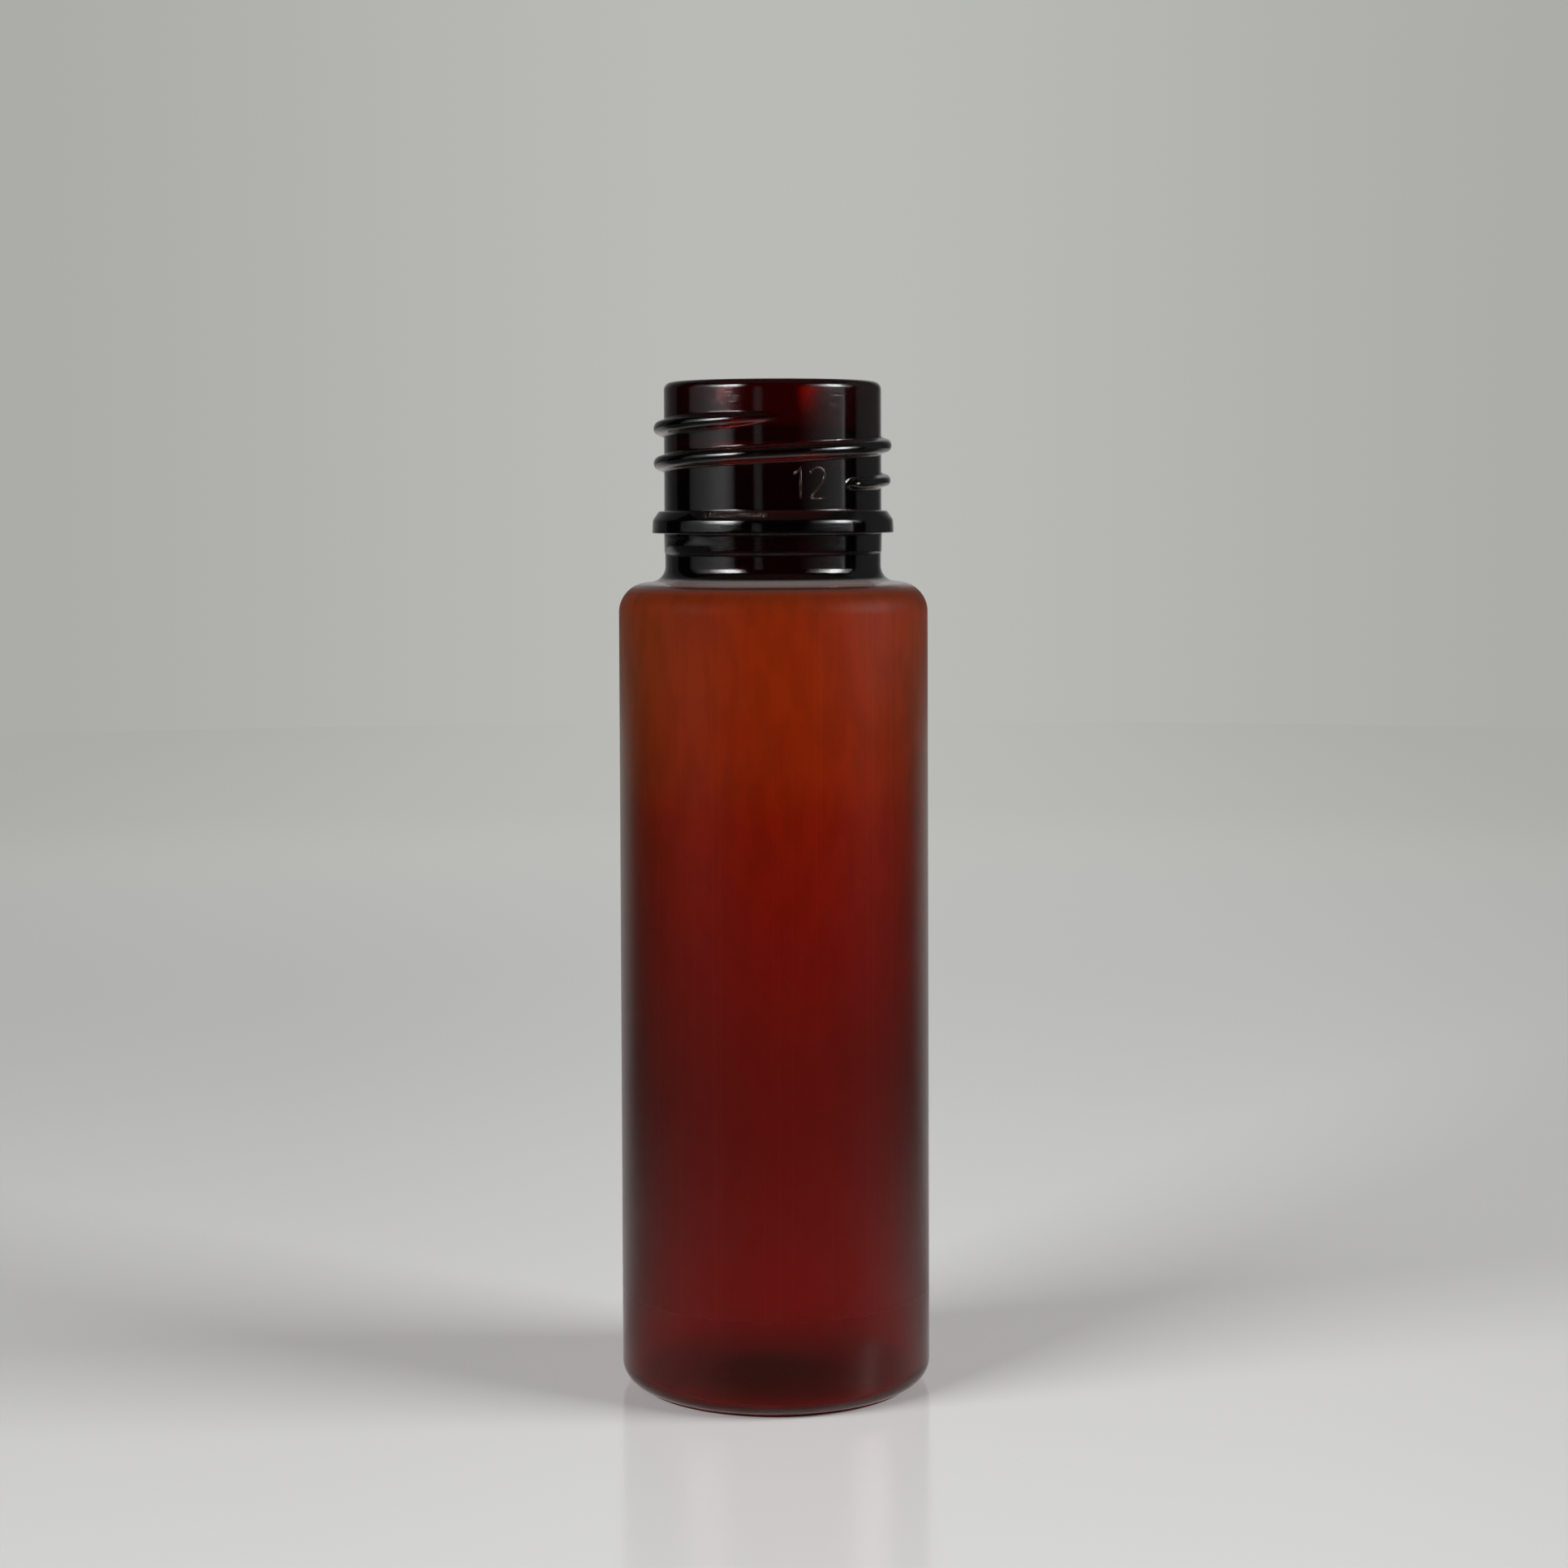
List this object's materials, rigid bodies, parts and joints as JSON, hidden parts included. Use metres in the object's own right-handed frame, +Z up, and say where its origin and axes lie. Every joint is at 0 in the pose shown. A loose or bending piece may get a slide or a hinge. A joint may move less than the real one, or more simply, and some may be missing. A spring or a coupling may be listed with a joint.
{
  "type": "plastic shot bottle",
  "caption": "Small straight-sided amber plastic bottle with an open screw-thread neck, a retaining bead for a tamper-evident cap and a pushed-up base.",
  "frame": {"origin": "centre of the standing ring, on the table", "axes": "+Z up along the bottle's axis and out of the mouth; -Y is the front, where the upper end of the thread runs out; +X is the right side seen from the front"},
  "size_m": [0.031, 0.031, 0.1007],
  "materials": {
    "amber_plastic": "clear amber PET, glossy, slightly hazy, near black where the neck is thick"
  },
  "bodies": {
    "root": {"bottle": "amber_plastic"}
  },
  "joints": []
}
